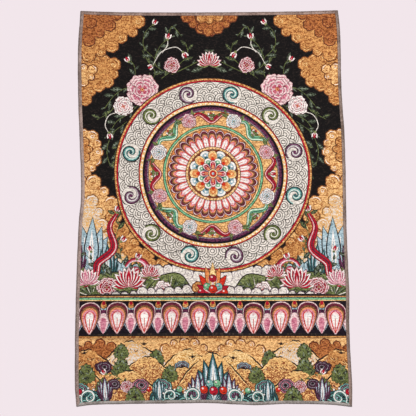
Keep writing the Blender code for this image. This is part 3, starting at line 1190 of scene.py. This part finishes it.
corner = flat[faces]
unwrap("weave", corner.real / METRE, (TALL - corner.imag) / METRE)
u = MARGIN + (SEAM - MARGIN) * corner.real / WIDE
u = np.where(reverse[:, None] > 0, 1 - u, u)
v = 1 - corner.imag / TALL
steps = len(rim_faces) // 2
start = np.arange(steps) / steps
end = start + 1 / steps
rim = len(faces) - len(rim_faces)
u[rim:] = np.repeat([[STRIP[0], STRIP[0], STRIP[1]], [STRIP[0], STRIP[1], STRIP[1]]], steps, axis=0)
v[rim:] = np.concatenate([np.stack([start, end, end], axis=1), np.stack([start, end, start], axis=1)])
v = MARGIN + (1 - 2 * MARGIN) * v
unwrap("OFBake", u, v)
print("UV maps:", ", ".join(layer.name for layer in picture.data.uv_layers))

# %% [markdown]
# ## The brocade's finish
# The cloth is a weft-figured weave of fine filament yarns, with gilt strips among the golds. Close up it is
# rows of short floats, each one yarn, pinched where it dives under the dark warp, so no area has one flat
# colour. The dark lines between floats are the warp showing, darkened further by painted shade between the
# rounded floats. Each row starts 0.38 of a float further on than the last, as in a satin, which scatters the
# dark spots evenly. Real picks are 0.45 mm apart. They are drawn 1.2 mm high and 4 mm long, because finer
# ones wouldn't show even in a close view of the panel. Filament yarn is smooth, which gives a soft sheen, and
# flecks of the gilded yarns are brightened as a painted glint.

# %% One helper for nodes
MATH, MIX, NOISE = "ShaderNodeMath", "ShaderNodeMix", "ShaderNodeTexNoise"
RANGE, BUMP = "ShaderNodeMapRange", "ShaderNodeBump"


def first(node):
    """A node's first output, of those that its settings leave in use."""
    return next(output for output in node.outputs if output.enabled)


def add(tree, kind, inputs=(), **settings):
    """Adds a node. An input, given by name or in order, takes a value, a socket or a node's first output."""
    made = tree.nodes.new(kind)
    for name, value in settings.items():
        setattr(made, name, value)
    sockets = [socket for socket in made.inputs if socket.enabled]
    named = {socket.name: socket for socket in sockets}
    for name, value in inputs.items() if isinstance(inputs, dict) else enumerate(inputs):
        socket = named[name] if name in named else sockets[name]
        if isinstance(value, bpy.types.Node):
            value = first(value)
        if isinstance(value, bpy.types.NodeSocket):
            tree.links.new(value, socket)
        else:
            socket.default_value = value
    return made


def new_finish(name, **settings):
    """A material, its nodes and its shader, whose settings are given by name."""
    finish = bpy.data.materials.new(name)
    finish.use_nodes = True
    shader = finish.node_tree.nodes["Principled BSDF"]
    for setting, value in settings.items():
        shader.inputs[setting.replace("_", " ")].default_value = value
    return finish, finish.node_tree, shader


brocade, tree, shader = new_finish(
    "weft_figured_brocade", Sheen_Weight=0.03, Sheen_Roughness=0.4, Specular_IOR_Level=0.08
)
print("finish:", brocade.name)

# %% Rows of floats
FLOAT_LONG, FLOAT_HIGH = 4.0, 1.2  # mm, as drawn
SATIN_STEP = 0.382  # of a float, from row to row
PINCH, PINCH_LONG = 0.42, 1.0  # mm, how much a float narrows on each side, and over what length at its ends
WARP_GAP = 0.30  # mm, half the dark line between two rows

weave = add(tree, "ShaderNodeUVMap", uv_map="weave")
floats = {"Vector": weave, "Scale": (METRE / FLOAT_LONG, METRE / FLOAT_HIGH, 1)}
across, up, _ = add(tree, "ShaderNodeSeparateXYZ", [add(tree, "ShaderNodeMapping", floats)]).outputs
row = add(tree, MATH, [up], operation="FLOOR")
run = add(tree, MATH, [row, SATIN_STEP, across], operation="MULTIPLY_ADD")
number = add(tree, "ShaderNodeCombineXYZ", [add(tree, MATH, [run], operation="FLOOR"), row])
tint = add(tree, "ShaderNodeTexWhiteNoise", [number], noise_dimensions="2D")
to_end = add(tree, MATH, [run, 0.5], operation="PINGPONG")
to_row = add(tree, MATH, [up, 0.5], operation="PINGPONG")
ends = {"Value": to_end, "From Max": PINCH_LONG / FLOAT_LONG, "To Min": PINCH / FLOAT_HIGH, "To Max": 0.0}
narrowing = add(tree, RANGE, ends)
clear = add(tree, MATH, [to_row, narrowing], operation="SUBTRACT")
warp = add(tree, RANGE, {"Value": clear, "From Max": WARP_GAP / FLOAT_HIGH, "To Min": 1.0, "To Max": 0.0})
print("floats drawn", FLOAT_LONG, "x", FLOAT_HIGH, "mm")

# %% Which yarn a float shows
CLUMP = 4.5  # mm, how far the second yarn gathers into flecks
MOST = 2.1  # times its share, in the middle of a fleck

main, second, weft = (
    add(tree, "ShaderNodeAttribute", attribute_name=name) for name in ("main yarn", "second yarn", "weft")
)
share_of_second, gilded, on_reverse = add(tree, "ShaderNodeSeparateColor", [weft]).outputs
flecks = add(tree, NOISE, {"Vector": weave, "Scale": METRE / CLUMP, "Detail": 2.0, "Distortion": 1.6})
gather = add(tree, RANGE, {"Value": flecks, "From Min": 0.40, "From Max": 0.60, "To Max": MOST})
limit = add(tree, MATH, [share_of_second, gather], operation="MULTIPLY")
pick = add(tree, MATH, [tint, limit], operation="LESS_THAN")
figure = add(tree, MIX, [pick, main, second], data_type="RGBA")
print("flecks of the second yarn gather over", CLUMP, "mm")

# %% Lot, painted glint of the gilt, warp with painted shade, and reverse
BOBBIN_LONG, BOBBIN_HIGH = 90.0, 3.0  # mm, the faint streaks that a new bobbin leaves
DARKEST, BOBBIN_SHARE, FLOAT_SHARE, PAINTED_GLINT_SHARE = 0.52, 0.8, 0.16, 0.54  # what a yarn's brightness is made of
WARP_AND_SHADE_SHOWS = 0.36

streaks = {"Vector": weave, "Scale": (METRE / BOBBIN_LONG, METRE / BOBBIN_HIGH, 1)}
bobbin = add(tree, NOISE, {"Vector": add(tree, "ShaderNodeMapping", streaks), "Scale": 1.0, "Detail": 2.0})
# Floats of gilded yarns are brightened in flecks: a painted glint of gilt catching the light.
painted_glint_spots = add(tree, RANGE, {"Value": flecks, "From Min": 0.48, "From Max": 0.36})
painted_glint = add(tree, MATH, [painted_glint_spots, gilded], operation="MULTIPLY")
tone = add(tree, MATH, [tint, FLOAT_SHARE, DARKEST], operation="MULTIPLY_ADD")
tone = add(tree, MATH, [bobbin, BOBBIN_SHARE, tone], operation="MULTIPLY_ADD")
tone = add(tree, MATH, [painted_glint, PAINTED_GLINT_SHARE, tone], operation="MULTIPLY_ADD")
shaded = add(tree, MIX, [1.0, figure, tone], data_type="RGBA", blend_type="MULTIPLY")
# The gaps between floats darken towards the warp colour: the dark warp showing, and painted shade between the
# rounded floats.
warp_and_shade_in_gaps = add(tree, MATH, [warp, WARP_AND_SHADE_SHOWS], operation="MULTIPLY")
face = add(tree, MIX, [warp_and_shade_in_gaps, shaded, linear("1c1716")], data_type="RGBA")
dull = add(tree, "ShaderNodeHueSaturation", {"Color": face, "Saturation": 0.62, "Value": 0.8})
loose = add(tree, RANGE, {"Value": bobbin, "From Min": 0.42, "From Max": 0.62, "To Max": 0.45})
behind = add(tree, MIX, [loose, dull, linear("453b38")], data_type="RGBA")
shown = add(tree, MIX, [on_reverse, face, behind], data_type="RGBA")
tree.links.new(first(shown), shader.inputs["Base Color"])
print("the warp darkens the gaps by", WARP_AND_SHADE_SHOWS)

# %% Gloss and relief of the weave
PICK_RISE = 0.30  # mm, a float's crown
COCKLE, COCKLE_RISE = 26.0, 1.1  # mm, how long and how high the cloth's faint unevenness is
ROUGH, GILT_SMOOTHS = 0.72, -0.35

gilt_float = add(tree, MATH, [gilded, tint], operation="MULTIPLY")
gloss = add(tree, MATH, [gilt_float, GILT_SMOOTHS, ROUGH], operation="MULTIPLY_ADD")
tree.links.new(first(gloss), shader.inputs["Roughness"])
crowned = add(tree, MATH, [1.0, warp], operation="SUBTRACT")
picks = add(tree, BUMP, {"Height": crowned, "Distance": PICK_RISE / METRE, "Strength": 0.8})
cockle = add(tree, NOISE, {"Vector": weave, "Scale": METRE / COCKLE, "Detail": 1.0})
uneven = add(tree, BUMP, {"Height": cockle, "Distance": COCKLE_RISE / METRE, "Normal": picks})
tree.links.new(first(uneven), shader.inputs["Normal"])
picture.data.materials.append(brocade)
print(len(tree.nodes), "nodes in", brocade.name)

# %% [markdown]
# ## The overlocked edge
# A serger has sewn the rim. Two loopers throw thread over the edge from face to back, and a needle thread
# ties them down 7 mm in. Laid close, the threads make a round grey-brown cord with no cloth showing. Each
# edge is one run of stitches, so each is one piece: a crowned strip of C section, which is the bed of
# thread that fills the inside, and hundreds of equal stitches on it. Geometry Nodes suit the stitches. One
# is drawn as lines, and the tree sweeps them to thread, repeats them along the edge and shifts each a little.

# %% Sizes of the stitching
STRIP_WIDTHS = {"left": 7.7, "top": 7.6, "right": 6.8, "bottom": 6.6}  # mm, from the nose to the inner edge
CHANNEL = CLOTH / 2 + GAP  # half the slot that the cloth's rim sits in
NOSE = 0.8  # thread wrapped round the cloth's cut edge
CROWN = 1.75  # half the thickness of the cord where it is fullest
INNER = 1.15  # the same at its inner edge
THREAD = 0.50  # radius of its three corners
STITCH = 2.4  # one stitch to the next
MITRE = 14.0  # length over which the stitches crowd together at a corner
BED_STEP = 6.0  # between the bed's sections
lengths = {edge: TALL if edge in ("left", "right") else WIDE for edge in STRIP_WIDTHS}


def crown(width):
    """The front half of the cord's outer line as depth + 1j * height, from the nose to the inner edge."""
    return along([0, 0.22 + 0.95j, 1.3 + 0.93j * CROWN, width * 0.45 + 1j * CROWN,
                  width * 0.82 + 0.86j * CROWN, width + 1j * INNER], 8)


def on_edge(edge, run, depth, height):
    """Settled points from a run along an edge, a depth in from it and a height, mitred at both ends."""
    start = np.maximum(depth, 0) + GAP / math.sqrt(2)
    for _ in range(2):  # from one end, then from the other
        squeezed = start + run * (MITRE - start) / MITRE
        run = lengths[edge] - np.where(run < MITRE, squeezed, run)
    s = {"left": depth, "right": WIDE - depth}.get(edge, run)
    t = {"top": depth, "bottom": TALL - depth}.get(edge, run)
    return settle(s, t, height)


print("stitches along each edge:", {edge: int(length / STITCH) for edge, length in lengths.items()})

# %% The bed of thread
def bed(edge, width):
    """Points, faces and depths of the crowned C strip under an edge's stitches."""
    outer = crown(width)
    slot = [width - 1j * CHANNEL, NOSE - 1j * CHANNEL, NOSE + 1j * CHANNEL, width + 1j * CHANNEL]
    section = np.concatenate([outer[::-1], outer[1:].conj(), slot])
    end = np.linspace(0, MITRE, 5)
    between = np.arange(MITRE + BED_STEP, lengths[edge] - MITRE - BED_STEP / 2, BED_STEP)
    run = np.concatenate([end, between, lengths[edge] - end[::-1]])
    count, rows = len(section), len(run)
    depth = np.tile(section.real, rows)
    points = on_edge(edge, np.repeat(run, count), depth, np.tile(section.imag, rows))
    faces = [list(range(count))[::-1], list(range((rows - 1) * count, rows * count))]
    for here in range(0, (rows - 1) * count, count):
        there = here + count
        for k in range(count):
            ahead = (k + 1) % count
            faces.append([here + k, here + ahead, there + ahead, there + k])
    return points, faces, depth


print("the bed's section has", 2 * len(crown(7.0)) + 3, "points")

# %% One stitch, as lines
PROUD = 0.12  # how far the middle of a thread stands off the bed
TIE_HEIGHT = 1.55  # of the needle thread, which lies a millimetre inside the inner edge


def stitch_lines(width):
    """Points and edges of one stitch, in (run, depth, height), with as few points as its shape needs."""
    half = np.array([0.3 + 1.2j, 2.2 + 1j * (CROWN + PROUD), width - 0.9 + 1j * (INNER + PROUD)])
    loop = np.concatenate([half[::-1].conj(), [-PROUD], half])
    to_nose = 0.5 + 0.5 * np.abs(np.linspace(-1, 1, len(loop)))
    chain = np.array([-0.2 - 0.3j, -0.2 + 0.3j])
    lines = [(1 - to_nose, loop), (to_nose, loop), (np.array([0.15, 1.1]), chain)]
    for side in (-1j, 1j):
        lines.append((np.array([0.05, 0.95]), np.full(2, width - 1.0 + side * TIE_HEIGHT)))
    points, edges = [], []
    for run, line in lines:
        edges += [(len(points) + k, len(points) + k + 1) for k in range(len(line) - 1)]
        points += [(STITCH * r, p.real, p.imag) for r, p in zip(run, line)]
    return points, edges


print("one stitch has", len(stitch_lines(7.0)[1]), "straight bits of thread")

# %% The tree that repeats it
ROW_INPUTS = {"Geometry": "Geometry", "Stitches": "Int", "Pitch": "Float", "Thread radius": "Float",
              "Unevenness": "Float", "Seed": "Int", "Thread": "Material"}
TWIST = 0.05  # radians, how far a stitch may lean

tree = bpy.data.node_groups.new("overlock_row", "GeometryNodeTree")
tree.interface.new_socket("Geometry", in_out="OUTPUT", socket_type="NodeSocketGeometry")
row_sockets = {
    name: tree.interface.new_socket(name, in_out="INPUT", socket_type=f"NodeSocket{kind}").identifier
    for name, kind in ROW_INPUTS.items()
}
given = add(tree, "NodeGroupInput").outputs
lines = add(tree, "GeometryNodeMeshToCurve", [given["Geometry"]])
profile = {"Resolution": 3, "Radius": given["Thread radius"]}
ring = add(tree, "GeometryNodeCurvePrimitiveCircle", profile)
thread = add(tree, "GeometryNodeCurveToMesh", {"Curve": lines, "Profile Curve": ring, "Fill Caps": True})
step = add(tree, "ShaderNodeCombineXYZ", [given["Pitch"]])
row = add(tree, "GeometryNodeMeshLine", {"Count": given["Stitches"], "Offset": step})
either_way = {"Min": (-1, -1, -1), "Max": (1, 1, 1), "Seed": given["Seed"]}
shift = add(tree, "FunctionNodeRandomValue", either_way, data_type="FLOAT_VECTOR")
small = add(tree, "ShaderNodeVectorMath", [shift, given["Unevenness"]], operation="SCALE")
loose = add(tree, "GeometryNodeSetPosition", {"Geometry": row, "Offset": small})
upright = {"Min": (0, 0, -TWIST), "Max": (0, 0, TWIST), "Seed": given["Seed"]}
turn = add(tree, "FunctionNodeRandomValue", upright, data_type="FLOAT_VECTOR")
sewn = add(tree, "GeometryNodeInstanceOnPoints", {"Points": loose, "Instance": thread, "Rotation": turn})
real = add(tree, "GeometryNodeRealizeInstances", [sewn])
dyed = add(tree, "GeometryNodeSetMaterial", {"Geometry": real, "Material": given["Thread"]})
add(tree, "NodeGroupOutput", [dyed])
overlock_row = tree
print(overlock_row.name, "takes", ", ".join(row_sockets))

# %% [markdown]
# ## Sewing thread
# Overlocking is sewn with spun polyester. It is short fibre twisted up, so it is matt and slightly hairy.
# The tone changes from thread to thread. The outermost line, where the two loopers' threads lock, is darker:
# partly dust and handling, partly painted shade where the cord turns away from the light. The shades of the
# four edges differ as each edge was lit, which is painted light and shade. The fine ply, a third of a
# millimetre, is drawn at one millimetre as a faint relief.

# %% The thread's finish
EDGE_SHADES_AS_LIT = {  # the light and the dark thread of each edge; the differences between edges are painted light and shade
    "left": ("b09c94", "7b6a63"), "top": ("aa948b", "766158"),
    "right": ("a08d83", "6e5c52"), "bottom": ("aba6a2", "7b756f"),
}
LOT, WORN, PLY = 3.5, 45.0, 1.0  # mm, how long spots of one shade, worn stretches and the ply are
PLY_RISE = 0.2  # mm
DIRT_AND_SHADE_REACH = 1.8  # mm from the nose, how far in the edge is darkened by dirt and painted shade
DIRT_AND_SHADE_AT_NOSE = 0.70  # how dark the nose gets, from dirt and painted shade


def thread_finish(name, light, dark):
    """A matt finish of sewing thread in two shades, darker towards the nose: partly dirt, partly painted
    shade.
    """
    finish, tree, shader = new_finish(name, Roughness=0.88, Specular_IOR_Level=0.2, Sheen_Weight=0.15)
    on_piece = add(tree, "ShaderNodeTexCoord").outputs["Object"]
    lots = add(tree, NOISE, {"Vector": on_piece, "Scale": METRE / LOT, "Detail": 3.0})
    worn = add(tree, NOISE, {"Vector": on_piece, "Scale": METRE / WORN, "Detail": 2.0})
    both = add(tree, MATH, [lots, worn], operation="ADD")
    spread = add(tree, RANGE, {"Value": both, "From Min": 0.80, "From Max": 1.20})
    mixed = add(tree, MIX, [spread, linear(dark), linear(light)], data_type="RGBA")
    # Darker near the nose: partly dust and handling, partly painted shade where the cord's outer side turns
    # from the light.
    nose_dirt_and_shade = add(tree, "ShaderNodeAttribute", attribute_name="nose_dirt_and_shade").outputs["Fac"]
    dirt_and_shade_share = add(tree, MATH, [nose_dirt_and_shade, DIRT_AND_SHADE_AT_NOSE], operation="MULTIPLY")
    dirtied_and_shaded = add(tree, MIX, [dirt_and_shade_share, mixed, linear("4a3d38")], data_type="RGBA")
    tree.links.new(first(dirtied_and_shaded), shader.inputs["Base Color"])
    ply = add(tree, NOISE, {"Vector": on_piece, "Scale": METRE / PLY, "Detail": 1.0})
    relief_of_ply = add(tree, BUMP, {"Height": ply, "Distance": PLY_RISE / METRE, "Strength": 0.6})
    tree.links.new(first(relief_of_ply), shader.inputs["Normal"])
    return finish


# One thread on all four edges: each edge's finish is a copy shaded as that edge was lit, which is painted
# light and shade.
finishes = {edge: thread_finish(f"spun_polyester_{edge}", *shades) for edge, shades in EDGE_SHADES_AS_LIT.items()}
print("finishes:", ", ".join(finish.name for finish in finishes.values()))

# %% Repeat the stitch along each edge
UNEVENNESS = 0.07  # how far a stitch may stray


def sewn_row(edge, width, seed):
    """The mesh of an edge's stitches, and each point's depth."""
    mesh = bpy.data.meshes.new(f"stitch_{edge}")
    mesh.from_pydata(*stitch_lines(width), [])
    one = bpy.data.objects.new(mesh.name, mesh)
    bpy.context.scene.collection.objects.link(one)
    count = int(lengths[edge] / STITCH)
    values = {"Stitches": count, "Pitch": lengths[edge] / count, "Thread radius": THREAD,
              "Unevenness": UNEVENNESS, "Seed": seed, "Thread": finishes[edge]}
    modifier = one.modifiers.new("row", "NODES")
    modifier.node_group = overlock_row
    for name, value in values.items():
        modifier[row_sockets[name]] = value
    row = bpy.data.meshes.new_from_object(one.evaluated_get(bpy.context.evaluated_depsgraph_get()))
    bpy.data.objects.remove(one)
    places = np.empty(len(row.vertices) * 3, np.float32)
    row.vertices.foreach_get("co", places)
    run, depth, height = places.reshape(-1, 3).T.astype(float)
    row.vertices.foreach_set("co", on_edge(edge, run, depth, height).astype(np.float32).ravel())
    return row, depth


rows = {edge: sewn_row(edge, width, seed) for seed, (edge, width) in enumerate(STRIP_WIDTHS.items())}
print("faces in each row:", {edge: len(row.polygons) for edge, (row, _) in rows.items()})

# %% Sew the four edges
def sew(edge, row, row_depth):
    """One overlocked edge: its bed of thread and its row of stitches, as one piece."""
    points, faces, depth = bed(edge, STRIP_WIDTHS[edge])
    piece = make_object(f"overlock_{edge}", points, faces, finishes[edge])
    bm = bmesh.new()
    bm.from_mesh(piece.data)
    if bm.calc_volume(signed=True) < 0:
        bmesh.ops.reverse_faces(bm, faces=bm.faces)
    under = len(bm.faces)
    bm.from_mesh(row)
    bm.faces.ensure_lookup_table()
    threads = bm.faces[under:]
    if sum(face.calc_area() * face.normal.dot(face.calc_center_median()) for face in threads) < 0:
        bmesh.ops.reverse_faces(bm, faces=threads)
    bm.to_mesh(piece.data)
    bm.free()
    bpy.data.meshes.remove(row)
    piece.data.shade_smooth()
    # How near each point is to the nose, for the darkening there: partly dirt, partly painted shade.
    nose_dirt_and_shade = np.exp(-(np.concatenate([depth, row_depth]) / DIRT_AND_SHADE_REACH) ** 2).astype(np.float32)
    piece.data.attributes.new("nose_dirt_and_shade", "FLOAT", "POINT").data.foreach_set("value", nose_dirt_and_shade)
    print(f"{piece.name}: {sum(len(p.vertices) - 2 for p in piece.data.polygons)} triangles")
    return piece


overlocks = {edge: sew(edge, *rows[edge]) for edge in STRIP_WIDTHS}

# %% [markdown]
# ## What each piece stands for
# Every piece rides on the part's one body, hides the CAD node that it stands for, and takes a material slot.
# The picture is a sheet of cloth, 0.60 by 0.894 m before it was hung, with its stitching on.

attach(picture, "root")
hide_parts("cloth")
for edge, piece in overlocks.items():
    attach(piece, "root")
    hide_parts(f"binding_{edge}")
print("pieces:", ", ".join(piece.name for piece in (picture, *overlocks.values())))

# %% [markdown]
# ## The studio
# The picture hangs free over a plain pale floor, in the light of a large soft lamp to the upper right and of
# a pale room. The camera looks straight at it, from a little below its middle. Its place was worked out from
# the sheet's four corners in the photo.

# %% Camera
CAMERA_PLACE = (-0.005, -1.482, -0.626)  # m
CAMERA_TURN = (96.40, 0.48, 0.19)  # degrees
CAMERA_ANGLE = 35.0  # degrees
camera = bpy.data.objects.new("camera", bpy.data.cameras.new("camera"))
camera.data.angle = math.radians(CAMERA_ANGLE)
camera.location = CAMERA_PLACE
camera.rotation_euler = [math.radians(angle) for angle in CAMERA_TURN]
bpy.context.scene.collection.objects.link(camera)
bpy.context.scene.camera = camera
print("camera", -CAMERA_PLACE[1], "m before the sheet")

# %% Floor
FLOOR, FLOOR_RADIUS, FLOOR_SIDES = -1.25, 1.6, 96  # m, m
paper, tree, shader = new_finish("backdrop_paper", Roughness=0.9, Specular_IOR_Level=0.1)
on_floor = add(tree, "ShaderNodeTexCoord").outputs["Object"]
grain = add(tree, NOISE, {"Vector": on_floor, "Scale": 6.0, "Detail": 2.0})
pale = add(tree, MIX, [grain, linear("e0d8de"), linear("e6dfe5")], data_type="RGBA")
tree.links.new(first(pale), shader.inputs["Base Color"])
ring = disc(0, FLOOR_RADIUS, FLOOR_SIDES)
ring = np.stack([ring.real, ring.imag, np.full(FLOOR_SIDES, FLOOR)], axis=1)
floor = make_object("floor", ring, [list(range(FLOOR_SIDES))], paper)
print("floor at", FLOOR, "m")

# %% Room and lamps
LAMPS = (  # (name, place in m, width in m, watts)
    ("key", (1.5, -1.9, 0.75), 1.1, 39.5), ("fill", (-1.6, -2.0, -0.3), 1.6, 10.0),
    ("rear", (-0.9, 2.2, 0.9), 1.4, 19.0),
)
LIT = (0, 0, -0.45)  # what the lamps point at
room = bpy.data.worlds.new("pale_room")
room.use_nodes = True
bpy.context.scene.world = room
room.node_tree.nodes.clear()
seen = add(room.node_tree, "ShaderNodeBackground", {"Color": linear("f2e6eb"), "Strength": 1.0})
glow = add(room.node_tree, "ShaderNodeBackground", {"Color": linear("f6efec"), "Strength": 0.85})
eye = add(room.node_tree, "ShaderNodeLightPath").outputs["Is Camera Ray"]
either = add(room.node_tree, "ShaderNodeMixShader", [eye, glow, seen])
add(room.node_tree, "ShaderNodeOutputWorld", {"Surface": either})
for name, spot, size, power in LAMPS:
    lamp = bpy.data.lights.new(name, "AREA")
    lamp.shape = "DISK"
    lamp.size = size
    lamp.energy = power
    shown = bpy.data.objects.new(name, lamp)
    shown.location = spot
    shown.rotation_euler = (Vector(LIT) - Vector(spot)).to_track_quat("-Z", "Y").to_euler()
    bpy.context.scene.collection.objects.link(shown)
bpy.context.scene.view_settings.view_transform = "Standard"
print(len(LAMPS), "lamps in a pale room")
